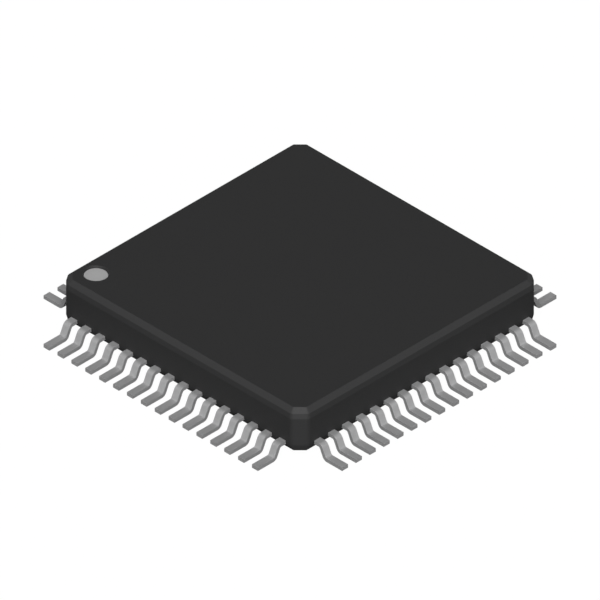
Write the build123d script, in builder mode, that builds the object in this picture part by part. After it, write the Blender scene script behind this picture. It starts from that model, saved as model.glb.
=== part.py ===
from build123d import *
import os
from math import radians, sqrt, tan

# Integrated circuit in a quad flat package with 64 gull-wing leads, in millimetres.
# Origin: the centre of the seating plane, +Z up. Pin 1 is the lead of the -X side that is
# nearest to +Y, and the pins count anticlockwise seen from above.

# Moulded body
body_height = 2.16  # underside to top face
standoff = 0.205  # seating plane to underside
end_space = 1.0  # centre of a side's last lead to the corner that the side faces would meet in
corner_cut = 0.53  # leg of the flat cut off each upright corner
steep_height = 0.22  # steep facet above and below the upright sides
steep_angle = 15.0  # from upright
edge_height = 0.205  # outer facet, next to the top face and the underside
edge_angle = 45.0  # from upright
least_round = 0.02  # rounding that the deepest bevel leaves on the upright edges

# Leads and the leadframe they are stamped from
leads_per_side = 16
leads_per_group = 4  # leads that share one node
lead_pitch = 0.80
lead_width = 0.35
lead_thickness = 0.18
exit_height = 0.34  # underside of the body to the underside of the leadframe
lead_shoulder = 0.235  # flat run outside the body
riser_angle = 65.0  # from level
bend_radius = 0.09  # inside of both bends, where one flat stands for so small an arc
foot_length = 0.88  # flat top of the foot
anchor_length = 0.40  # straight run inside the body, before the leads fan in
finger_width = 0.20  # at the inner end
finger_gap = 0.60  # inner ends to the paddle
finger_corner_space = 0.95  # last finger's centre to the inner ends of the next side

# Die paddle and its tie bars
paddle_margin = 1.0  # edge of the die to the edge of the paddle
paddle_downset = 0.15  # drop of the paddle below the leads
downset_run = 0.40  # length of the sloping part of a tie bar
tie_bar_width = 0.20
tie_bar_cover = 0.15  # moulding compound over the ends of the tie bars

# Silicon die, its adhesive and the bond wires
die_side = 5.0
die_height = 0.28
adhesive_thickness = 0.025
adhesive_margin = 0.12  # fillet of adhesive that shows round the die
pad_inset = 0.12  # bond pads to the edge of the die
pad_corner_space = 0.45  # last bond pad to the corner of the die
wire_size = 0.03
loop_height = 0.22  # top of a wire above the die
stitch_length = 0.12  # flat end of a wire on its finger
stitch_inset = 0.15  # tip of a finger to the end of its wire

# Pin 1 mark and the ejector marks of the underside
mark_diameter = 1.0  # floor of the recess
mark_depth = 0.12
mark_draft = 22.0
mark_ink = 0.02  # thickness of the light disc on the floor
mark_setback = 1.25  # centre of the mark to the side face beside pin 1
mark_corner_space = 1.0  # centre of the mark to the side face next to pin 64
ejector_diameter = 1.4
ejector_depth = 0.04
ejector_draft = 20.0
ejector_reach = 6.0  # centre of a mark to the middle of the underside, along a diagonal

# Places that follow from the sizes
body_side = (leads_per_side - 1) * lead_pitch + 2 * end_space
body_half = body_side / 2
body_top = standoff + body_height
steep_inset = steep_height * tan(radians(steep_angle))
edge_inset = edge_height * tan(radians(edge_angle))
upright_round = least_round + steep_inset + edge_inset
upright_height = body_height - 2 * (steep_height + edge_height)
lead_low = standoff + exit_height
lead_top = lead_low + lead_thickness
bend_reach = (bend_radius + lead_thickness) * tan(radians(riser_angle / 2))
heel_reach = bend_radius * tan(radians(riser_angle / 2))
shoulder_corner = body_half + lead_shoulder + bend_reach
heel_corner = shoulder_corner + (lead_top - lead_thickness) / tan(radians(riser_angle))
lead_tip = heel_corner + heel_reach + foot_length
fan_start = body_half - anchor_length
paddle_side = die_side + 2 * paddle_margin
paddle_top = lead_top - paddle_downset
finger_tip = paddle_side / 2 + finger_gap
finger_pitch = 2 * (finger_tip - finger_corner_space) / (leads_per_side - 1)
die_low = paddle_top + adhesive_thickness
die_top = die_low + die_height
pad_reach = die_side / 2 - pad_inset
pad_pitch = (die_side - 2 * pad_corner_space) / (leads_per_side - 1)
stitch_reach = finger_tip + stitch_inset
tie_bar_end = (body_side - corner_cut) / sqrt(2) - tie_bar_cover
mark_x = -body_half + mark_setback
mark_y = body_half - mark_corner_space


def plan_plane(side):
    """Level plane of a side, 0 to 3 from pin 1 on: x points outwards, y towards higher pins."""
    return Plane.XY.rotated((0, 0, 180 + 90 * side))


def section_plane(plan):
    """Upright plane across a side: x points outwards, y up."""
    return Plane(origin=plan.origin, x_dir=plan.x_dir, z_dir=-plan.y_dir)


def place_in_row(number):
    """How many pitches a lead, counted from 0, stands from the middle of its side."""
    return number - (leads_per_side - 1) / 2


def finger_shift(row_place, reach):
    """Sideways place of a finger's middle where it is `reach` from the package's centre."""
    inner = row_place * finger_pitch
    outer = row_place * lead_pitch
    return inner + (outer - inner) * (reach - finger_tip) / (fan_start - finger_tip)


def make_leads(side, first):
    """One group of leads: strips that fan in inside the body and are bent outside it."""
    plan = plan_plane(side)
    with BuildPart() as leads:
        with BuildSketch(plan):
            for number in range(first, first + leads_per_group):
                inner = place_in_row(number) * finger_pitch
                outer = place_in_row(number) * lead_pitch
                with BuildLine():
                    Polyline(
                        (finger_tip, inner - finger_width / 2),
                        (fan_start, outer - lead_width / 2),
                        (lead_tip, outer - lead_width / 2),
                        (lead_tip, outer + lead_width / 2),
                        (fan_start, outer + lead_width / 2),
                        (finger_tip, inner + finger_width / 2),
                        close=True,
                    )
                make_face()
        extrude(amount=lead_top)
        with BuildSketch(section_plane(plan)) as bent_strip:
            with BuildLine():
                upper = Polyline(
                    (finger_tip, lead_top),
                    (shoulder_corner, lead_top),
                    (heel_corner, lead_thickness),
                    (lead_tip, lead_thickness),
                )
                offset(upper, amount=lead_thickness, side=Side.RIGHT, kind=Kind.INTERSECTION)
            make_face()
            levels = bent_strip.vertices().group_by(Axis.Y)
            heel_outside = levels[0].sort_by(Axis.X)[0]
            heel_inside = levels[1].sort_by(Axis.X)[0]
            shoulder_inside = levels[2].sort_by(Axis.X)[-1]
            shoulder_outside = levels[3].sort_by(Axis.X)[-1]
            fillet((shoulder_outside, heel_outside), radius=bend_radius + lead_thickness)
            chamfer((shoulder_inside, heel_inside), length=heel_reach)
        extrude(amount=body_half, both=True, mode=Mode.INTERSECT)
    return leads.part


def make_wires(side, first):
    """Bond wires of one group of leads: up from the die, down in one slope, flat on the finger."""
    plan = plan_plane(side)
    with BuildPart() as wires:
        for number in range(first, first + leads_per_group):
            row_place = place_in_row(number)
            pad = plan.from_local_coords((pad_reach, row_place * pad_pitch, die_top))
            stitch = plan.from_local_coords(
                (stitch_reach, finger_shift(row_place, stitch_reach), die_top)
            )
            run = stitch - pad
            finger_drop = lead_top + wire_size - die_top
            wire_plane = Plane(origin=pad, x_dir=run, z_dir=run.cross(Vector(0, 0, 1)))
            with BuildSketch(wire_plane):
                with BuildLine():
                    upper = Polyline(
                        (0, 0),
                        (0, loop_height),
                        (run.length - stitch_length, finger_drop),
                        (run.length, finger_drop),
                    )
                    offset(upper, amount=wire_size, side=Side.RIGHT, kind=Kind.INTERSECTION)
                make_face()
            extrude(amount=wire_size / 2, both=True)
    return wires.part


with BuildPart() as die_paddle:
    with BuildSketch(Plane.XY.offset(paddle_top)):
        Rectangle(paddle_side, paddle_side)
    extrude(amount=-lead_thickness)
    for corner in range(4):
        diagonal = Plane.XY.rotated((0, 0, 45 + 90 * corner))
        slope_start = paddle_side / sqrt(2)
        with BuildSketch(section_plane(diagonal)):
            with BuildLine():
                upper = Polyline(
                    (0, paddle_top),
                    (slope_start, paddle_top),
                    (slope_start + downset_run, lead_top),
                    (tie_bar_end, lead_top),
                )
                offset(upper, amount=lead_thickness, side=Side.RIGHT, kind=Kind.INTERSECTION)
            make_face()
        extrude(amount=tie_bar_width / 2, both=True)

with BuildPart() as die_attach:
    with BuildSketch(Plane.XY.offset(paddle_top)):
        Rectangle(die_side + 2 * adhesive_margin, die_side + 2 * adhesive_margin)
    extrude(amount=adhesive_thickness)

with BuildPart() as silicon_die:
    with BuildSketch(Plane.XY.offset(die_low)):
        Rectangle(die_side, die_side)
    extrude(amount=die_height)

with BuildPart() as pin_one_mark:
    with BuildSketch(Plane.XY.offset(body_top - mark_depth)):
        with Locations((mark_x, mark_y)):
            Circle(mark_diameter / 2)
    extrude(amount=mark_ink)

inner_pieces = {
    "die_paddle": die_paddle.part,
    "die_attach": die_attach.part,
    "silicon_die": silicon_die.part,
}
for side in range(4):
    for first in range(0, leads_per_side, leads_per_group):
        first_pin = side * leads_per_side + first + 1
        pins = f"{first_pin:02d}_{first_pin + leads_per_group - 1:02d}"
        inner_pieces[f"leads_{pins}"] = make_leads(side, first)
        inner_pieces[f"bond_wires_{pins}"] = make_wires(side, first)

with BuildPart() as moulded_body:
    with BuildSketch(Plane.XY.offset(standoff + edge_height + steep_height)) as outline:
        Rectangle(body_side, body_side)
        chamfer(outline.vertices(), length=corner_cut)
        fillet(outline.vertices(), radius=upright_round)
    extrude(amount=upright_height)
    for end in (0, -1):
        steep_base = moulded_body.faces().sort_by(Axis.Z)[end]
        extrude(steep_base, amount=steep_height, taper=steep_angle)
        edge_base = moulded_body.faces().sort_by(Axis.Z)[end]
        extrude(edge_base, amount=edge_height, taper=edge_angle)
    with BuildSketch(Plane.XY.offset(body_top - mark_depth)):
        with Locations((mark_x, mark_y)):
            Circle(mark_diameter / 2)
    extrude(amount=mark_depth, taper=-mark_draft, mode=Mode.SUBTRACT)
    with BuildSketch(Plane.XY.offset(standoff + ejector_depth)):
        with PolarLocations(ejector_reach, 2, start_angle=45):
            Circle(ejector_diameter / 2)
    extrude(amount=-ejector_depth, taper=-ejector_draft, mode=Mode.SUBTRACT)
    add(inner_pieces.values(), mode=Mode.SUBTRACT)

os.makedirs("parts", exist_ok=True)
pieces = {**inner_pieces, "moulded_body": moulded_body.part, "pin_one_mark": pin_one_mark.part}
for name, piece in pieces.items():
    piece.label = name
    export_step(piece, f"parts/{name}.step")
print("tip to tip", round(2 * lead_tip, 3), "height", round(body_top, 3))
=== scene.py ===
"""Looks of an integrated circuit in a quad flat package with 64 gull-wing leads.

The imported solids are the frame. The body, the leads and the pin 1 mark are modelled again
here with their fine rounding, and the sealed pieces keep their solids and get a finish.
Lengths in the classes are in millimetres in the row's frame, and meshes are in metres.
"""

import logging
from dataclasses import dataclass, field, fields
from enum import Enum
from math import acos, cos, pi, radians, sin, tan
from typing import Any

import bmesh
import bpy
from mathutils import Matrix, Vector


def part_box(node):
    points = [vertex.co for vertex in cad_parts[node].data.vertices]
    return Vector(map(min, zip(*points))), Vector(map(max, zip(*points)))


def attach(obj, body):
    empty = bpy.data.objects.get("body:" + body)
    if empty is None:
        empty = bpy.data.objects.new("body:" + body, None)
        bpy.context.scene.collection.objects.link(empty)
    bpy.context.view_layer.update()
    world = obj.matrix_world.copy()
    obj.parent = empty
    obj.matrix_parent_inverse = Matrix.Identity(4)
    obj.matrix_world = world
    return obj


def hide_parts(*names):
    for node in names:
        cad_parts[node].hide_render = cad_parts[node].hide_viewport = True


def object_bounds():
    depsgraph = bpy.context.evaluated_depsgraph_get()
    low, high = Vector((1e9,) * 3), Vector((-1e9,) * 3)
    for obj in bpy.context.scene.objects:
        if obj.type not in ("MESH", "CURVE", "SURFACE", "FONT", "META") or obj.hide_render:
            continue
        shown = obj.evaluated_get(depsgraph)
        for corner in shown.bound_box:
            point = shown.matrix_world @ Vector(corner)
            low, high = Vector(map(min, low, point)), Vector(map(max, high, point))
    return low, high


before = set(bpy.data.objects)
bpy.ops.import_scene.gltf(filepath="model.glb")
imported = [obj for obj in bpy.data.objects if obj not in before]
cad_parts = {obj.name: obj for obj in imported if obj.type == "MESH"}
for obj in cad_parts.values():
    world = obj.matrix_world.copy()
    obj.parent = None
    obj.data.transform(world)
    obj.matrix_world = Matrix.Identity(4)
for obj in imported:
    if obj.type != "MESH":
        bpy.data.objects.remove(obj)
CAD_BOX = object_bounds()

LOG = logging.getLogger("quad_flat_package")
MM = 0.001  # a millimetre in metres
ROOT = "root"  # the only rigid body, which every piece rides on
BODY_NODE = "moulded_body"
MARK_NODE = "pin_one_mark"
SIDES = 4
LEADS_PER_SIDE = 16
LEADS_PER_NODE = 4
EJECTOR_REACH = 6.0  # middle of the underside to an ejector mark

Colour = tuple[float, float, float]
Scale = tuple[float, float, float]
Tones = tuple[float, float]
Materials = dict[str, bpy.types.Material]

WHITE: Colour = (1.0, 1.0, 1.0)
EVEN: Scale = (1.0, 1.0, 1.0)


class Texture(Enum):
    """The procedural textures that the finishes use."""

    CLOUD = "ShaderNodeTexNoise"
    CELLS = "ShaderNodeTexVoronoi"
    BLOCKS = "ShaderNodeTexBrick"


class Rounded(Enum):
    """What a bevel rounds."""

    CORNERS = "VERTICES"
    EDGES = "EDGES"


class Term:
    """A shader output that can stand in a Python expression.

    Args:
        graph: The graph that the output belongs to.
        socket: The output itself.
    """

    def __init__(self, graph: "ShaderGraph", socket: bpy.types.NodeSocket) -> None:
        """Keep the graph and the output."""
        self.graph = graph
        self.socket = socket

    def _join(self, operation: str, first: "Number", second: "Number") -> "Term":
        """Add one Math node.

        Args:
            operation: Blender's name of the operation.
            first: Left operand.
            second: Right operand.

        Returns:
            The node's result.
        """
        node = self.graph.node("ShaderNodeMath", {"operation": operation}, {0: first, 1: second})
        return Term(self.graph, node.outputs[0])

    def __add__(self, other: "Number") -> "Term":
        """Sum."""
        return self._join("ADD", self, other)

    def __radd__(self, other: "Number") -> "Term":
        """Sum with the number on the left."""
        return self._join("ADD", other, self)

    def __sub__(self, other: "Number") -> "Term":
        """Difference."""
        return self._join("SUBTRACT", self, other)

    def __rsub__(self, other: "Number") -> "Term":
        """Difference with the number on the left."""
        return self._join("SUBTRACT", other, self)

    def __mul__(self, other: "Number") -> "Term":
        """Product."""
        return self._join("MULTIPLY", self, other)

    def __rmul__(self, other: "Number") -> "Term":
        """Product with the number on the left."""
        return self._join("MULTIPLY", other, self)

    def rise(self, start: float, end: float) -> "Term":
        """Smooth step from 0 to 1.

        Args:
            start: Value at which the step starts.
            end: Value at which it has reached 1.

        Returns:
            The stepped value.
        """
        settings = {"interpolation_type": "SMOOTHSTEP"}
        inputs = {"Value": self, "From Min": start, "From Max": end}
        node = self.graph.node("ShaderNodeMapRange", settings, inputs)
        return Term(self.graph, node.outputs["Result"])


Number = float | Term


def rgba(colour: Any) -> Any:
    """A plain colour with its alpha, or an output as it is."""
    return (*colour, 1.0) if isinstance(colour, tuple) else colour


class ShaderGraph:
    """The node tree of a material or of the world.

    Args:
        tree: The tree, which is emptied.
    """

    def __init__(self, tree: bpy.types.NodeTree) -> None:
        """Empty the tree and keep it."""
        tree.nodes.clear()
        self.tree = tree

    def node(
        self,
        kind: str,
        settings: dict[str, Any] | None = None,
        inputs: dict[str | int, Any] | None = None,
    ) -> bpy.types.Node:
        """Add a node.

        Args:
            kind: Blender's type name of the node.
            settings: Properties, which are set before the inputs.
            inputs: Values, terms or sockets by input name or number.

        Returns:
            The node.
        """
        made = self.tree.nodes.new(kind)
        for name, value in (settings or {}).items():
            setattr(made, name, value)
        for name, value in (inputs or {}).items():
            if isinstance(value, Term):
                value = value.socket
            if isinstance(value, bpy.types.NodeSocket):
                self.tree.links.new(value, made.inputs[name])
            else:
                made.inputs[name].default_value = value
        return made

    def place(self, scale: Scale = EVEN) -> bpy.types.NodeSocket:
        """Object coordinates in millimetres.

        Args:
            scale: Factor along each axis, under 1 to draw the pattern out.

        Returns:
            The vector output.
        """
        coordinates = self.node("ShaderNodeTexCoord").outputs["Object"]
        inputs = {"Vector": coordinates, "Scale": tuple(factor / MM for factor in scale)}
        return self.node("ShaderNodeMapping", None, inputs).outputs["Vector"]

    def noise(self, size: float, detail: float = 2.0, scale: Scale = EVEN) -> Term:
        """Cloud noise.

        Args:
            size: Size of its features, in millimetres.
            detail: Octaves.
            scale: Factor along each axis, under 1 to draw the pattern out.

        Returns:
            Its value, from 0 to 1.
        """
        inputs = {"Vector": self.place(scale), "Scale": 1.0 / size, "Detail": detail}
        made = self.node(Texture.CLOUD.value, None, inputs)
        return Term(self, made.outputs[0])

    def cells(self, size: float) -> Term:
        """Distance to the nearest of scattered points.

        Args:
            size: Spacing of the points, in millimetres.

        Returns:
            The distance as a share of the spacing.
        """
        inputs = {"Vector": self.place(), "Scale": 1.0 / size}
        made = self.node(Texture.CELLS.value, None, inputs)
        return Term(self, made.outputs["Distance"])

    def attribute(self, name: str) -> Term:
        """A number kept on the mesh.

        Args:
            name: The attribute's name.

        Returns:
            Its value.
        """
        made = self.node("ShaderNodeAttribute", {"attribute_name": name})
        return Term(self, made.outputs["Fac"])

    def blend(self, factor: Number, first: Any, second: Any) -> bpy.types.NodeSocket:
        """Mix two colours.

        Args:
            factor: Share of the second.
            first: Colour or output.
            second: Colour or output.

        Returns:
            The mixed colour.
        """
        inputs = {0: factor, 6: rgba(first), 7: rgba(second)}
        return self.node("ShaderNodeMix", {"data_type": "RGBA"}, inputs).outputs[2]

    def bump(self, height: Term, depth: float) -> bpy.types.NodeSocket:
        """Bump from a height.

        Args:
            height: The height, from 0 to 1.
            depth: What 1 stands for, in millimetres.

        Returns:
            The normal.
        """
        made = self.node("ShaderNodeBump", None, {"Height": height, "Distance": depth * MM})
        return made.outputs["Normal"]


@dataclass(frozen=True)
class Finish:
    """A finish, with what is the same all over the surface.

    Attributes:
        name: Name of the material.
        colour: Base colour.
        roughness: Base roughness.
        metallic: 0 for a plastic, 1 for a metal.
        specular: Specular level.
    """

    name: str
    colour: Colour
    roughness: float
    metallic: float = 0.0
    specular: float = 0.5

    def tinted(self, share: float) -> Colour:
        """The base colour times a share."""
        return tuple(min(1.0, value * share) for value in self.colour)

    def toned(self, graph: ShaderGraph, pattern: Term, tones: Tones) -> bpy.types.NodeSocket:
        """The base colour with a pattern in its tone.

        Args:
            graph: The material's graph.
            pattern: The pattern, from 0 to 1.
            tones: Shares of the base colour where the pattern is 0 and 1.

        Returns:
            The colour.
        """
        return graph.blend(pattern, self.tinted(tones[0]), self.tinted(tones[1]))

    def roughened(self, pattern: Term, spread: float) -> Term:
        """The base roughness with a pattern in it.

        Args:
            pattern: The pattern, from 0 to 1.
            spread: The most that it takes away or adds.

        Returns:
            The roughness.
        """
        return self.roughness - spread + pattern * (2 * spread)

    def vary(self, graph: ShaderGraph) -> dict[str, Any]:
        """What changes over the surface, which each finish says for itself.

        Args:
            graph: The material's graph.

        Returns:
            Inputs of the surface shader by name.
        """
        raise NotImplementedError

    def material(self) -> bpy.types.Material:
        """Make the material.

        Returns:
            The material.
        """
        made = bpy.data.materials.new(self.name)
        made.use_nodes = True
        graph = ShaderGraph(made.node_tree)
        same = {
            "Roughness": self.roughness,
            "Metallic": self.metallic,
            "Specular IOR Level": self.specular,
        }
        surface = graph.node("ShaderNodeBsdfPrincipled", None, {**same, **self.vary(graph)})
        graph.node("ShaderNodeOutputMaterial", None, {"Surface": surface.outputs["BSDF"]})
        return made


@dataclass(frozen=True)
class MouldingCompound(Finish):
    """Dark epoxy filled with silica, with the matt grain of an eroded mould.

    Attributes:
        filler: Spacing of the filler specks.
        speck_reach: Shares of that spacing where a speck starts to fade and has gone.
        speck_tone: How much lighter a speck is.
        speck_share: How much of that tone shows.
        speck_gloss: How much smoother a speck is.
        speck_height: Height of a speck, where the grain's is 1.
        flow: Size of the flow marks.
        flow_tones: Their darkest and lightest tone.
        grain: Size of the mould's grain.
        grain_depth: Depth of that grain.
        grain_spread: What the grain changes in the roughness.
        rubbed: Mesh attribute, 0 on the broad faces and 1 on facets turned halfway between them,
            where a highlight is painted.
        painted_highlight_tone: How much lighter the compound is painted there, as a painted
            highlight on the facets.
    """

    filler: float = 0.035
    speck_reach: tuple[float, float] = (0.12, 0.34)
    speck_tone: float = 1.45
    speck_share: float = 0.35
    speck_gloss: float = 0.08
    speck_height: float = 0.2
    flow: float = 1.6
    flow_tones: Tones = (0.96, 1.04)
    grain: float = 0.05
    grain_depth: float = 0.0022
    grain_spread: float = 0.05
    rubbed: str = "rubbed"
    painted_highlight_tone: float = 1.6

    def vary(self, graph: ShaderGraph) -> dict[str, Any]:
        """Filler specks, slow flow marks, a painted highlight on the facets and the mould's grain.
        """
        specks = 1.0 - graph.cells(self.filler).rise(*self.speck_reach)
        dark = self.toned(graph, graph.noise(self.flow, detail=3.0), self.flow_tones)
        # Painted highlight: facets and cut corners are painted lighter by their tilt from the
        # broad faces, standing in for the light they catch.
        highlighted = graph.blend(graph.attribute(self.rubbed), dark, self.tinted(self.painted_highlight_tone))
        tone = graph.blend(specks * self.speck_share, highlighted, self.tinted(self.speck_tone))
        grain = graph.noise(self.grain, detail=4.0)
        height = grain + specks * self.speck_height
        return {
            "Base Color": tone,
            "Roughness": self.roughened(grain, self.grain_spread) - specks * self.speck_gloss,
            "Normal": graph.bump(height, self.grain_depth),
        }


@dataclass(frozen=True)
class TinPlate(Finish):
    """Matt tin over a stamped lead.

    Attributes:
        crystal: Size of the plating's crystals.
        crystal_depth: Depth of the crystals.
        crystal_spread: What the crystals change in the roughness.
        stain: Size of the stains.
        stain_tones: Their darkest and lightest tone.
        through: Mesh attribute, 0 at the underside and 1 at the upper face.
        burr_start: Shares of the thickness where the torn zone starts and is full.
        burr_end: Shares of the thickness where it starts to fade and has gone.
        burr_tone: How much darker it is.
        burr_share: How much of that tone shows.
        burr_roughness: How much rougher it is.
    """

    crystal: float = 0.012
    crystal_depth: float = 0.0008
    crystal_spread: float = 0.04
    stain: float = 0.7
    stain_tones: Tones = (0.93, 1.05)
    through: str = "through"
    burr_start: tuple[float, float] = (0.02, 0.06)
    burr_end: tuple[float, float] = (0.4, 0.48)
    burr_tone: float = 0.86
    burr_share: float = 0.5
    burr_roughness: float = 0.08

    def vary(self, graph: ShaderGraph) -> dict[str, Any]:
        """Crystals, faint stains and the torn lower part of the stamped edges."""
        level = graph.attribute(self.through)
        torn = level.rise(*self.burr_start) * (1.0 - level.rise(*self.burr_end))
        crystals = graph.noise(self.crystal, detail=3.0)
        clean = self.toned(graph, graph.noise(self.stain), self.stain_tones)
        rough = self.roughened(crystals, self.crystal_spread) + torn * self.burr_roughness
        return {
            "Base Color": graph.blend(torn * self.burr_share, clean, self.tinted(self.burr_tone)),
            "Roughness": rough,
            "Normal": graph.bump(crystals * (1.0 + torn), self.crystal_depth),
        }


@dataclass(frozen=True)
class MottledPaste(Finish):
    """Flat ink or cured adhesive with a faint mottle.

    Attributes:
        mottle: Size of the mottle.
        mottle_depth: Its depth.
        mottle_tones: Its darkest and lightest tone.
    """

    mottle: float = 0.06
    mottle_depth: float = 0.0015
    mottle_tones: Tones = (0.95, 1.05)

    def vary(self, graph: ShaderGraph) -> dict[str, Any]:
        """Mottle in tone and height."""
        spots = graph.noise(self.mottle, detail=3.0)
        return {
            "Base Color": self.toned(graph, spots, self.mottle_tones),
            "Normal": graph.bump(spots, self.mottle_depth),
        }


@dataclass(frozen=True)
class RolledStrip(Finish):
    """Rolled metal strip or drawn wire, with lines along one axis.

    Attributes:
        line: Width of the lines.
        stretch: How many times longer than wide they are.
        line_depth: Their depth.
        line_tones: Their darkest and lightest tone.
        line_spread: What the lines change in the roughness.
    """

    line: float = 0.03
    stretch: float = 30.0
    line_depth: float = 0.001
    line_tones: Tones = (0.88, 1.1)
    line_spread: float = 0.08

    def vary(self, graph: ShaderGraph) -> dict[str, Any]:
        """Rolling lines in tone, roughness and height."""
        lines = graph.noise(self.line, scale=(1.0 / self.stretch, 1.0, 1.0))
        return {
            "Base Color": self.toned(graph, lines, self.line_tones),
            "Roughness": self.roughened(lines, self.line_spread),
            "Normal": graph.bump(lines, self.line_depth),
        }


@dataclass(frozen=True)
class Silicon(Finish):
    """The face of the die, with plain rectangular fields.

    Attributes:
        block: Length of a field, which is half as wide.
        block_tones: The two tones of the fields.
        street: Width of the lines between them.
        street_tone: Tone of these lines.
    """

    block: float = 0.55
    block_tones: Tones = (0.8, 1.5)
    street: float = 0.02
    street_tone: float = 2.2

    def vary(self, graph: ShaderGraph) -> dict[str, Any]:
        """Rectangular fields in two tones with thin lines between them."""
        inputs = {
            "Vector": graph.place(),
            "Color1": rgba(self.tinted(self.block_tones[0])),
            "Color2": rgba(self.tinted(self.block_tones[1])),
            "Mortar": rgba(self.tinted(self.street_tone)),
            "Scale": 1.0,
            "Mortar Size": self.street,
            "Brick Width": self.block,
            "Row Height": self.block / 2.0,
        }
        return {"Base Color": graph.node(Texture.BLOCKS.value, None, inputs).outputs["Color"]}


@dataclass(frozen=True)
class FinishSet:
    """The finishes of the package by the record's slot names."""

    moulding_compound: Finish = MouldingCompound(
        "moulding_compound", (0.015, 0.015, 0.0153), roughness=0.7, specular=0.6
    )
    plated_lead: Finish = TinPlate("plated_lead", (0.6, 0.6, 0.605), roughness=0.5, metallic=0.62)
    mark_ink: Finish = MottledPaste("mark_ink", (0.43, 0.43, 0.43), roughness=0.8, specular=0.3)
    leadframe_copper: Finish = RolledStrip(
        "leadframe_copper", (0.72, 0.42, 0.27), roughness=0.38, metallic=1.0
    )
    die_adhesive: Finish = MottledPaste(
        "die_adhesive", (0.5, 0.49, 0.46), roughness=0.55, metallic=0.4
    )
    silicon: Finish = Silicon("silicon", (0.07, 0.08, 0.11), roughness=0.12, metallic=0.3)
    gold_wire: Finish = RolledStrip("gold_wire", (0.85, 0.6, 0.2), roughness=0.22, metallic=1.0)

    def materials(self) -> Materials:
        """Make every material.

        Returns:
            Materials by slot name.
        """
        return {slot.name: getattr(self, slot.name).material() for slot in fields(self)}


def box_of(node: str) -> tuple[Vector, Vector]:
    """The low and the high corner of a CAD node, in millimetres."""
    low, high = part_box(node)
    return low / MM, high / MM


def of_kind(items: list[Any], kind: type) -> list[Any]:
    """The corners, edges or faces among what an operator made."""
    return [item for item in items if isinstance(item, kind)]


def bevel(
    mesh: bmesh.types.BMesh, geom: list[Any], offset: float, segments: int, rounded: Rounded
) -> None:
    """Round corners or edges.

    Args:
        mesh: Mesh to work on.
        geom: What to round.
        offset: How far the rounding reaches.
        segments: Its steps.
        rounded: Whether corners or edges are rounded.
    """
    bmesh.ops.bevel(
        mesh,
        geom=geom,
        offset=offset,
        segments=segments,
        profile=0.5,
        affect=rounded.value,
        material=-1,
    )


def even_normals(data: bpy.types.Mesh, sharp_angle: float) -> None:
    """Weight the normals by area, so that flat faces shade flat beside their roundings.

    Args:
        data: The mesh.
        sharp_angle: Faces that turn by more than this don't share a normal, in radians.
    """
    around: list[list[bpy.types.MeshPolygon]] = [[] for _ in data.vertices]
    for face in data.polygons:
        for vert in face.vertices:
            around[vert].append(face)
    limit = cos(sharp_angle)
    normals = []
    for face in data.polygons:
        for vert in face.vertices:
            total = Vector()
            for other in around[vert]:
                if other.normal.dot(face.normal) > limit:
                    total += other.normal * (other.area / MM**2)
            normals.append(total.normalized())
    data.normals_split_custom_set(normals)


def to_piece(
    name: str,
    mesh: bmesh.types.BMesh,
    materials: Materials,
    slot: str,
    node: str,
    sharp_angle: float,
) -> bpy.types.Object:
    """Turn a mesh in millimetres into a piece that stands for a CAD node.

    Args:
        name: Name of the piece.
        mesh: Its mesh, which is freed.
        materials: Materials by slot name.
        slot: The slot that it takes its finish from.
        node: The CAD node that it stands for.
        sharp_angle: Edges that turn by more than this stay crisp, in degrees.

    Returns:
        The piece.
    """
    bmesh.ops.scale(mesh, vec=(MM, MM, MM), verts=mesh.verts)
    data = bpy.data.meshes.new(name)
    mesh.to_mesh(data)
    mesh.free()
    data.shade_smooth()
    data.set_sharp_from_angle(angle=radians(sharp_angle))
    even_normals(data, radians(sharp_angle))
    data.materials.append(materials[slot])
    piece = bpy.data.objects.new(name, data)
    bpy.context.scene.collection.objects.link(piece)
    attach(piece, ROOT)
    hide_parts(node)
    LOG.info("%s: %d faces", name, len(data.polygons))
    return piece


def rounded_section(
    corners: list[tuple[float, float]], radius: float, steps: int
) -> list[Vector]:
    """Round the inner corners of a section.

    Args:
        corners: The corners, with both ends.
        radius: Radius of the arcs.
        steps: Steps of each arc.

    Returns:
        The points of the section without its two ends.
    """
    points = []
    for before, corner, after in zip(corners, corners[1:], corners[2:]):
        middle = Vector(corner)
        back = (Vector(before) - middle).normalized()
        ahead = (Vector(after) - middle).normalized()
        half_angle = back.angle(ahead) / 2
        centre = middle + (back + ahead).normalized() * radius / sin(half_angle)
        start = (middle + back * radius / tan(half_angle) - centre).normalized()
        end = (middle + ahead * radius / tan(half_angle) - centre).normalized()
        shares = [step / steps for step in range(steps + 1)]
        points += [centre + start.slerp(end, share) * radius for share in shares]
    return points


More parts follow.
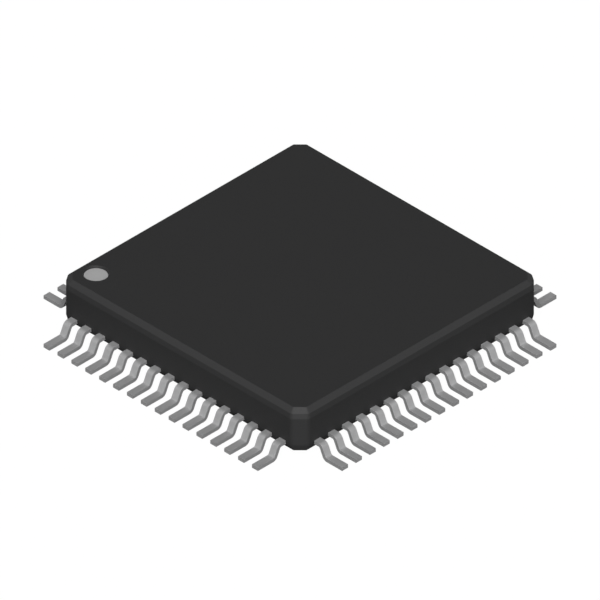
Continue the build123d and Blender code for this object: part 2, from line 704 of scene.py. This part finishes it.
@dataclass(frozen=True)
class RoundRecess:
    """A shallow round recess with a sloping wall, rounded at its lip and at its foot.

    Attributes:
        centre: Its centre in plan.
        floor_diameter: Diameter of the floor.
        depth: Depth below the face.
        draft: Slope of the wall from upright, in degrees.
        rounding: Radius of the lip and of the foot.
        segments: Sides of the circle.
        arc_steps: Steps of each rounding.
    """

    centre: tuple[float, float]
    floor_diameter: float
    depth: float
    draft: float
    rounding: float = 0.015
    segments: int = 96
    arc_steps: int = 3

    def section(self) -> list[Vector]:
        """The section from the lip to the floor.

        Returns:
            Radius and depth of each ring.
        """
        foot = self.floor_diameter / 2
        lip = foot + self.depth * tan(radians(self.draft))
        corners = [(2 * lip, 0.0), (lip, 0.0), (foot, self.depth), (0.0, self.depth)]
        return rounded_section(corners, self.rounding, self.arc_steps)

    def rim(self, mesh: bmesh.types.BMesh, level: float) -> list[bmesh.types.BMEdge]:
        """Draw the rim.

        Args:
            mesh: Mesh to draw in.
            level: Height of the face.

        Returns:
            The rim's edges.
        """
        made = bmesh.ops.create_circle(
            mesh,
            cap_ends=False,
            segments=self.segments,
            radius=self.section()[0].x,
            matrix=Matrix.Translation((*self.centre, level)),
        )
        return list({edge for vert in made["verts"] for edge in vert.link_edges})

    def sink(self, mesh: bmesh.types.BMesh, rim: list[bmesh.types.BMEdge], inward: float) -> None:
        """Draw the wall and the floor from the rim.

        Args:
            mesh: Mesh to draw in.
            rim: The rim's edges.
            inward: 1 where the depth goes up, -1 where it goes down.
        """
        rings = self.section()
        space = Matrix.Translation((-self.centre[0], -self.centre[1], 0.0))
        for ring, next_ring in zip(rings, rings[1:]):
            made = bmesh.ops.extrude_edge_only(mesh, edges=rim)["geom"]
            verts = of_kind(made, bmesh.types.BMVert)
            rim = of_kind(made, bmesh.types.BMEdge)
            share = next_ring.x / ring.x
            bmesh.ops.scale(mesh, vec=(share, share, 1.0), verts=verts, space=space)
            drop = inward * (next_ring.y - ring.y)
            bmesh.ops.translate(mesh, vec=(0.0, 0.0, drop), verts=verts)
        bmesh.ops.contextual_create(mesh, geom=rim)


@dataclass
class PackageBody:
    """The moulded body: a square block with cut corners and two facets along every edge.

    Attributes:
        corner_cut: Leg of the flat at each upright corner.
        corner_round: Radius at the sides of that flat.
        round_segments: Steps of that rounding.
        steep_height: Height of the steep facets.
        steep_angle: Their slope from upright, in degrees.
        edge_height: Height of the outer facets.
        edge_angle: Their slope from upright, in degrees.
        ridge_round: Radius of the ridges between the facets.
        ridge_segments: Steps of that rounding.
        sharp_angle: Edges that turn by more than this stay crisp, in degrees.
        pin_one: The recess of the pin 1 mark, in the top face.
        ejectors: The ejector marks, on one diagonal of the underside.
    """

    corner_cut: float = 0.53
    corner_round: float = 0.294
    round_segments: int = 6
    steep_height: float = 0.22
    steep_angle: float = 15.0
    edge_height: float = 0.205
    edge_angle: float = 45.0
    ridge_round: float = 0.02
    ridge_segments: int = 2
    sharp_angle: float = 40.0
    pin_one: RoundRecess = RoundRecess((-5.75, 6.0), floor_diameter=1.0, depth=0.12, draft=22.0)
    ejectors: tuple[RoundRecess, ...] = tuple(
        RoundRecess(
            (EJECTOR_REACH * cos(radians(turn)), EJECTOR_REACH * sin(radians(turn))),
            floor_diameter=1.4,
            depth=0.04,
            draft=20.0,
        )
        for turn in (45.0, 225.0)
    )

    def outline(self, half: float) -> bmesh.types.BMesh:
        """The plan outline as one face at height 0.

        Args:
            half: Half of the body's side.

        Returns:
            The mesh.
        """
        mesh = bmesh.new()
        bmesh.ops.create_grid(mesh, x_segments=1, y_segments=1, size=half)
        bevel(mesh, mesh.verts[:], self.corner_cut, 1, Rounded.CORNERS)
        turn = pi / 4  # at each of the eight corners that the cuts leave
        reach = self.corner_round * tan(turn / 2)
        bevel(mesh, mesh.verts[:], reach, self.round_segments, Rounded.CORNERS)
        return mesh

    def section(self, height: float) -> list[Vector]:
        """The section of the upper half, from the upright side to the level face.

        Args:
            height: Height of the whole block, with its middle at 0.

        Returns:
            Inset and height of each ring.
        """
        steep_inset = self.steep_height * tan(radians(self.steep_angle))
        inset = steep_inset + self.edge_height * tan(radians(self.edge_angle))
        corners = [
            (0.0, 0.0),
            (0.0, height / 2 - self.edge_height - self.steep_height),
            (steep_inset, height / 2 - self.edge_height),
            (inset, height / 2),
            (2 * inset, height / 2),
        ]
        return rounded_section(corners, self.ridge_round, self.ridge_segments)

    def grow(self, mesh: bmesh.types.BMesh, height: float) -> None:
        """Raise the outline into the block, then add the facets at both ends.

        Args:
            mesh: The outline, as one face.
            height: Height of the whole block, with its middle at 0.
        """
        rings = self.section(height)
        upright = rings[0].y
        made = bmesh.ops.extrude_face_region(mesh, geom=mesh.faces[:])["geom"]
        verts = of_kind(made, bmesh.types.BMVert)
        bmesh.ops.translate(mesh, vec=(0.0, 0.0, 2 * upright), verts=verts)
        bmesh.ops.translate(mesh, vec=(0.0, 0.0, -upright), verts=mesh.verts)
        bmesh.ops.recalc_face_normals(mesh, faces=mesh.faces)
        for sign in (1.0, -1.0):
            for ring, next_ring in zip(rings, rings[1:]):
                step = next_ring - ring
                bmesh.ops.inset_region(
                    mesh,
                    faces=[self.end_face(mesh, sign)],
                    thickness=step.x,
                    depth=step.y,
                    use_even_offset=True,
                    use_boundary=True,
                )
        mesh.normal_update()

    def rub(self, mesh: bmesh.types.BMesh) -> None:
        """Note on the facets how far each is turned from the broad faces, which sets how strongly
        a highlight is painted on them.

        Args:
            mesh: The block.
        """
        # Painted highlight: the further a facet turns from the broad faces, the lighter the
        # compound is painted on it.
        rubbed = mesh.faces.layers.float.new(MouldingCompound.rubbed)
        halfway = pi / 4  # from one broad face to the next
        for face in mesh.faces:
            nearest = max(abs(share) for share in face.normal)
            face[rubbed] = min(1.0, acos(min(1.0, nearest)) / halfway)

    def end_face(self, mesh: bmesh.types.BMesh, sign: float) -> bmesh.types.BMFace:
        """The level face at one end.

        Args:
            mesh: The block.
            sign: 1 for the top face, -1 for the underside.

        Returns:
            The face.
        """
        return max(mesh.faces, key=lambda face: sign * face.calc_center_median().z)

    def dimple(
        self, mesh: bmesh.types.BMesh, sign: float, recesses: tuple[RoundRecess, ...]
    ) -> None:
        """Open round recesses in one end face.

        Args:
            mesh: The block.
            sign: 1 for the top face, -1 for the underside.
            recesses: The recesses.
        """
        face = self.end_face(mesh, sign)
        level = face.calc_center_median().z
        border = list(face.edges)
        bmesh.ops.delete(mesh, geom=[face], context="FACES_ONLY")
        rims = [recess.rim(mesh, level) for recess in recesses]
        edges = border + [edge for rim in rims for edge in rim]
        bmesh.ops.triangle_fill(
            mesh, use_beauty=True, use_dissolve=False, edges=edges, normal=(0.0, 0.0, sign)
        )
        for recess, rim in zip(recesses, rims):
            recess.sink(mesh, rim, -sign)

    def build(self, materials: Materials) -> bpy.types.Object:
        """Make the body.

        Args:
            materials: Materials by slot name.

        Returns:
            The piece.
        """
        low, high = box_of(BODY_NODE)
        mesh = self.outline((high.x - low.x) / 2)
        self.grow(mesh, high.z - low.z)
        self.rub(mesh)
        self.dimple(mesh, 1.0, (self.pin_one,))
        self.dimple(mesh, -1.0, self.ejectors)
        bmesh.ops.translate(mesh, vec=(0.0, 0.0, (low.z + high.z) / 2), verts=mesh.verts)
        bmesh.ops.recalc_face_normals(mesh, faces=mesh.faces)
        return to_piece(
            "package_body", mesh, materials, "moulding_compound", BODY_NODE, self.sharp_angle
        )


@dataclass
class GullWingLead:
    """One lead, drawn along +X and turned to its side.

    Attributes:
        pitch: Spacing of the leads.
        width: Width outside the body.
        thickness: Thickness of the strip.
        shoulder: Flat run outside the body.
        riser_angle: Slope of the riser, in degrees.
        bend_radius: Inside radius of both bends.
        bend_segments: Steps of each bend.
        anchor: Straight run inside the body.
        finger_tip: Inner end to the middle of the package.
        finger_pitch: Spacing of the inner ends.
        finger_width: Width of an inner end.
        edge_round: Rounding of the stamped edges.
        edge_segments: Steps of that rounding.
        edge_angle: Edges that turn by more than this are rounded, in degrees.
        merge_distance: Points nearer than this are one.
        sharp_angle: Edges that turn by more than this stay crisp, in degrees.
    """

    pitch: float = 0.8
    width: float = 0.35
    thickness: float = 0.18
    shoulder: float = 0.235
    riser_angle: float = 65.0
    bend_radius: float = 0.09
    bend_segments: int = 10
    anchor: float = 0.4
    finger_tip: float = 4.1
    finger_pitch: float = 0.42
    finger_width: float = 0.2
    edge_round: float = 0.01
    edge_segments: int = 2
    edge_angle: float = 60.0
    merge_distance: float = 0.0005
    sharp_angle: float = 35.0

    def finger(self, row_place: float, end: float, middle: float) -> bmesh.types.BMesh:
        """Draw the tapered finger inside the body.

        Args:
            row_place: Pitches from the middle of the side.
            end: Its outer end to the middle of the package.
            middle: Height of its middle.

        Returns:
            The mesh.
        """
        mesh = bmesh.new()
        size = Vector((end - self.finger_tip, self.width, self.thickness))
        centre = Vector(((end + self.finger_tip) / 2, row_place * self.pitch, middle))
        place = Matrix.Translation(centre) @ Matrix.Diagonal((*size, 1.0))
        bmesh.ops.create_cube(mesh, size=1.0, matrix=place)
        level = mesh.verts.layers.float.new(TinPlate.through)
        for vert in mesh.verts:
            vert[level] = 1.0 if vert.co.z > middle else 0.0
            if vert.co.x < centre.x:
                side = (vert.co.y - centre.y) / self.width * self.finger_width
                vert.co.y = row_place * self.finger_pitch + side
        return mesh

    def run(
        self, mesh: bmesh.types.BMesh, face: bmesh.types.BMFace, step: Vector
    ) -> bmesh.types.BMFace:
        """Carry the strip straight on.

        Args:
            mesh: The strip.
            face: Its end face.
            step: How far and which way.

        Returns:
            The new end face.
        """
        made = bmesh.ops.extrude_face_region(mesh, geom=[face])["geom"]
        verts = of_kind(made, bmesh.types.BMVert)
        bmesh.ops.translate(mesh, vec=step, verts=verts)
        bmesh.ops.delete(mesh, geom=[face], context="FACES_ONLY")
        return of_kind(made, bmesh.types.BMFace)[0]

    def bend(
        self, mesh: bmesh.types.BMesh, face: bmesh.types.BMFace, centre: Vector, angle: float
    ) -> bmesh.types.BMFace:
        """Bend the strip on.

        Args:
            mesh: The strip.
            face: Its end face.
            centre: Centre of the bend.
            angle: Turn about +Y, in radians.

        Returns:
            The new end face.
        """
        made = bmesh.ops.spin(
            mesh,
            geom=[face, *face.edges, *face.verts],
            cent=centre,
            axis=(0.0, 1.0, 0.0),
            angle=angle,
            steps=self.bend_segments,
            use_merge=False,
            use_duplicate=False,
        )
        return of_kind(made["geom_last"], bmesh.types.BMFace)[0]

    def strip(
        self, row_place: float, body_half: float, tip: float, top: float
    ) -> bmesh.types.BMesh:
        """Draw one lead along +X.

        Args:
            row_place: Pitches from the middle of the side.
            body_half: Half of the body's side.
            tip: Outer end to the middle of the package.
            top: Height of the shoulder's upper face.

        Returns:
            The mesh.
        """
        angle = radians(self.riser_angle)
        radius = self.bend_radius + self.thickness / 2
        middle = top - self.thickness / 2
        mesh = self.finger(row_place, body_half - self.anchor, middle)
        face = max(mesh.faces, key=lambda each: each.calc_center_median().x)
        face = self.run(mesh, face, Vector((self.anchor + self.shoulder, 0.0, 0.0)))
        upper_centre = Vector((body_half + self.shoulder, 0.0, middle - radius))
        face = self.bend(mesh, face, upper_centre, angle)
        drop = middle - self.thickness / 2 - 2 * radius * (1 - cos(angle))
        riser = Vector((cos(angle), 0.0, -sin(angle))) * drop / sin(angle)
        face = self.run(mesh, face, riser)
        foot_start = face.calc_center_median().x + radius * sin(angle)
        lower_centre = Vector((foot_start, 0.0, self.thickness / 2 + radius))
        face = self.bend(mesh, face, lower_centre, -angle)
        self.run(mesh, face, Vector((tip - foot_start, 0.0, 0.0)))
        return mesh

    def build(self, number: int, materials: Materials) -> bpy.types.Object:
        """Make one lead.

        Args:
            number: Its pin number, from 1.
            materials: Materials by slot name.

        Returns:
            The piece.
        """
        side, place_in_side = divmod(number - 1, LEADS_PER_SIDE)
        first = number - (number - 1) % LEADS_PER_NODE
        node = f"leads_{first:02d}_{first + LEADS_PER_NODE - 1:02d}"
        body_low, body_high = box_of(BODY_NODE)
        mesh = self.strip(
            row_place=place_in_side - (LEADS_PER_SIDE - 1) / 2,
            body_half=(body_high.x - body_low.x) / 2,
            tip=CAD_BOX[1][0] / MM,
            top=box_of(node)[1].z,
        )
        bmesh.ops.remove_doubles(mesh, verts=mesh.verts, dist=self.merge_distance)
        bmesh.ops.recalc_face_normals(mesh, faces=mesh.faces)
        least = radians(self.edge_angle)
        stamped = [edge for edge in mesh.edges if edge.calc_face_angle(0.0) > least]
        bevel(mesh, stamped, self.edge_round, self.edge_segments, Rounded.EDGES)
        turn = Matrix.Rotation(pi + side * pi / 2, 3, "Z")
        bmesh.ops.rotate(mesh, cent=(0.0, 0.0, 0.0), matrix=turn, verts=mesh.verts)
        return to_piece(
            f"lead_{number:02d}", mesh, materials, "plated_lead", node, self.sharp_angle
        )


@dataclass
class PinOneMark:
    """The light disc on the floor of the pin 1 recess.

    Attributes:
        segments: Sides of the circle.
        edge_round: Rounding of its upper edge.
        edge_segments: Steps of that rounding.
        sharp_angle: Edges that turn by more than this stay crisp, in degrees.
    """

    segments: int = 96
    edge_round: float = 0.012
    edge_segments: int = 3
    sharp_angle: float = 35.0

    def build(self, materials: Materials) -> bpy.types.Object:
        """Make the disc.

        Args:
            materials: Materials by slot name.

        Returns:
            The piece.
        """
        low, high = box_of(MARK_NODE)
        radius = (high.x - low.x) / 2
        middle = (low + high) / 2
        mesh = bmesh.new()
        bmesh.ops.create_cone(
            mesh,
            cap_ends=True,
            segments=self.segments,
            radius1=radius,
            radius2=radius,
            depth=high.z - low.z,
            matrix=Matrix.Translation(middle),
        )
        upper = [edge for edge in mesh.edges if all(vert.co.z > middle.z for vert in edge.verts)]
        bevel(mesh, upper, self.edge_round, self.edge_segments, Rounded.EDGES)
        return to_piece("mark_disc", mesh, materials, "mark_ink", MARK_NODE, self.sharp_angle)


@dataclass
class SealedPieces:
    """The pieces inside the body, which keep their solids.

    Attributes:
        slots: Slot of each node by the start of its name.
    """

    slots: dict[str, str] = field(
        default_factory=lambda: {
            "die_paddle": "leadframe_copper",
            "die_attach": "die_adhesive",
            "silicon_die": "silicon",
            "bond_wires": "gold_wire",
        }
    )

    def dress(self, materials: Materials) -> None:
        """Give every sealed node its finish.

        Args:
            materials: Materials by slot name.
        """
        for name, node in sorted(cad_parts.items()):
            for start, slot in self.slots.items():
                if name.startswith(start):
                    node.data.materials.clear()
                    node.data.materials.append(materials[slot])
                    LOG.info("%s: %s", name, slot)


def direction(azimuth: float, elevation: float) -> Vector:
    """Unit vector towards a place in the sky.

    Args:
        azimuth: Degrees from +X towards +Y.
        elevation: Degrees above level.

    Returns:
        The vector.
    """
    across, up = radians(azimuth), radians(elevation)
    return Vector((cos(up) * cos(across), cos(up) * sin(across), sin(up)))


@dataclass(frozen=True)
class Lamp:
    """A soft distant lamp.

    Attributes:
        name: Its name.
        azimuth: Where it stands, in degrees from +X towards +Y.
        elevation: Its height, in degrees.
        strength: Its strength.
        spread: Its width in the sky, in degrees.
    """

    name: str
    azimuth: float
    elevation: float
    strength: float
    spread: float

    def build(self) -> None:
        """Make the lamp."""
        data = bpy.data.lights.new(self.name, "SUN")
        data.energy = self.strength
        data.angle = radians(self.spread)
        lamp = bpy.data.objects.new(self.name, data)
        towards = direction(self.azimuth, self.elevation)
        lamp.rotation_euler = towards.to_track_quat("Z", "Y").to_euler()
        bpy.context.scene.collection.objects.link(lamp)


@dataclass
class Studio:
    """Floor, light and camera.

    Attributes:
        view_azimuth: Where the camera stands, in degrees from +X towards +Y.
        view_elevation: Its height, in degrees: that of an isometric view.
        view_width: What the square picture spans.
        aim_height: Height of the point in the middle of the picture.
        view_distance: Camera to that point.
        view_nearest: Nearest point that the camera sees.
        view_farthest: Farthest point that it sees.
        floor_side: Side of the floor.
        floor_gap: Floor below the feet.
        floor_colour: Its colour.
        floor_glow: Strength of the light that it adds of its own.
        floor_lift: Share of that light that the camera sees.
        floor_mirrored: Share of it in reflections.
        horizon: Strength of the surroundings near the horizon.
        zenith: Their strength overhead.
        horizon_height: How high the light of the horizon reaches, 1 for overhead.
        mirrored: Share of the white that the camera sees there which reflections show.
        lamps: The lamps.
    """

    view_azimuth: float = 225.0
    view_elevation: float = 35.264
    view_width: float = 24.43
    aim_height: float = 1.152
    view_distance: float = 150.0
    view_nearest: float = 1.0
    view_farthest: float = 10000.0
    floor_side: float = 900.0
    floor_gap: float = 0.004
    floor_colour: Colour = (0.1, 0.1, 0.1)
    floor_glow: float = 1.4
    floor_lift: float = 0.7
    floor_mirrored: float = 0.0
    horizon: float = 0.1
    zenith: float = 0.05
    horizon_height: float = 0.7
    mirrored: float = 0.06
    lamps: tuple[Lamp, ...] = (
        Lamp("key", azimuth=225.0, elevation=45.0, strength=2.6, spread=30.0),
        Lamp("front", azimuth=225.0, elevation=6.0, strength=1.0, spread=80.0),
        Lamp("rim_left", azimuth=145.0, elevation=8.0, strength=0.12, spread=50.0),
        Lamp("rim_right", azimuth=-55.0, elevation=8.0, strength=0.12, spread=50.0),
        Lamp("fill_left", azimuth=95.0, elevation=10.0, strength=0.45, spread=60.0),
        Lamp("fill_right", azimuth=-5.0, elevation=10.0, strength=0.45, spread=60.0),
    )

    def camera(self) -> None:
        """Make the camera, which looks without perspective as the photograph does."""
        data = bpy.data.cameras.new("camera")
        data.type = "ORTHO"
        data.ortho_scale = self.view_width * MM
        data.clip_start = self.view_nearest * MM
        data.clip_end = self.view_farthest * MM
        camera = bpy.data.objects.new("camera", data)
        towards = direction(self.view_azimuth, self.view_elevation)
        camera.location = (Vector((0.0, 0.0, self.aim_height)) + towards * self.view_distance) * MM
        camera.rotation_euler = towards.to_track_quat("Z", "Y").to_euler()
        bpy.context.scene.collection.objects.link(camera)
        bpy.context.scene.camera = camera

    def shown(self, graph: ShaderGraph, direct: float, mirrored: float) -> Term:
        """A value that differs with the way in which a surface is seen.

        Args:
            graph: The graph to add it to.
            direct: The value for the camera.
            mirrored: The value in a reflection or through a clear piece.

        Returns:
            The value, which is 0 for diffuse light.
        """
        path = graph.node("ShaderNodeLightPath")
        camera, glossy, clear = (
            Term(graph, path.outputs[f"Is {name} Ray"])
            for name in ("Camera", "Glossy", "Transmission")
        )
        return camera * direct + (glossy + clear) * mirrored

    def surroundings(self) -> None:
        """White surroundings that light the package softly, most of all from the horizon."""
        world = bpy.data.worlds.new("surroundings")
        world.use_nodes = True
        graph = ShaderGraph(world.node_tree)
        towards = graph.node("ShaderNodeTexCoord").outputs["Generated"]
        height = Term(graph, graph.node("ShaderNodeSeparateXYZ", None, {0: towards}).outputs["Z"])
        level = self.horizon + height.rise(0.0, self.horizon_height) * (self.zenith - self.horizon)
        share = self.shown(graph, 1.0, self.mirrored)
        inputs = {"Color": rgba(WHITE), "Strength": level + share * (1.0 - level)}
        sky = graph.node("ShaderNodeBackground", None, inputs)
        graph.node("ShaderNodeOutputWorld", None, {"Surface": sky.outputs[0]})
        bpy.context.scene.world = world

    def floor(self) -> None:
        """A plain white floor that keeps the shadow."""
        mesh = bmesh.new()
        bmesh.ops.create_grid(mesh, x_segments=1, y_segments=1, size=self.floor_side / 2 * MM)
        bmesh.ops.translate(mesh, vec=(0.0, 0.0, -self.floor_gap * MM), verts=mesh.verts)
        data = bpy.data.meshes.new("floor")
        mesh.to_mesh(data)
        mesh.free()
        floor = bpy.data.objects.new("floor", data)
        bpy.context.scene.collection.objects.link(floor)
        data.materials.append(self.floor_material())

    def floor_material(self) -> bpy.types.Material:
        """The floor's matt surface, with a glow that lifts it to white for the camera.

        Returns:
            The material.
        """
        material = bpy.data.materials.new("floor")
        material.use_nodes = True
        graph = ShaderGraph(material.node_tree)
        matt = graph.node("ShaderNodeBsdfDiffuse", None, {"Color": rgba(self.floor_colour)})
        glow = graph.node("ShaderNodeEmission", None, {"Strength": self.floor_glow})
        factor = self.shown(graph, self.floor_lift, self.floor_mirrored)
        inputs = {0: factor, 1: matt.outputs[0], 2: glow.outputs[0]}
        mixed = graph.node("ShaderNodeMixShader", None, inputs)
        graph.node("ShaderNodeOutputMaterial", None, {"Surface": mixed.outputs[0]})
        return material

    def build(self) -> None:
        """Make the studio."""
        self.camera()
        self.surroundings()
        self.floor()
        for lamp in self.lamps:
            lamp.build()
        bpy.context.scene.view_settings.view_transform = "Standard"


def main() -> None:
    """Build the object and the studio."""
    logging.basicConfig(level=logging.INFO, format="%(message)s")
    materials = FinishSet().materials()
    PackageBody().build(materials)
    lead = GullWingLead()
    for number in range(1, SIDES * LEADS_PER_SIDE + 1):
        lead.build(number, materials)
    PinOneMark().build(materials)
    SealedPieces().dress(materials)
    Studio().build()


if __name__ == "__main__":
    main()
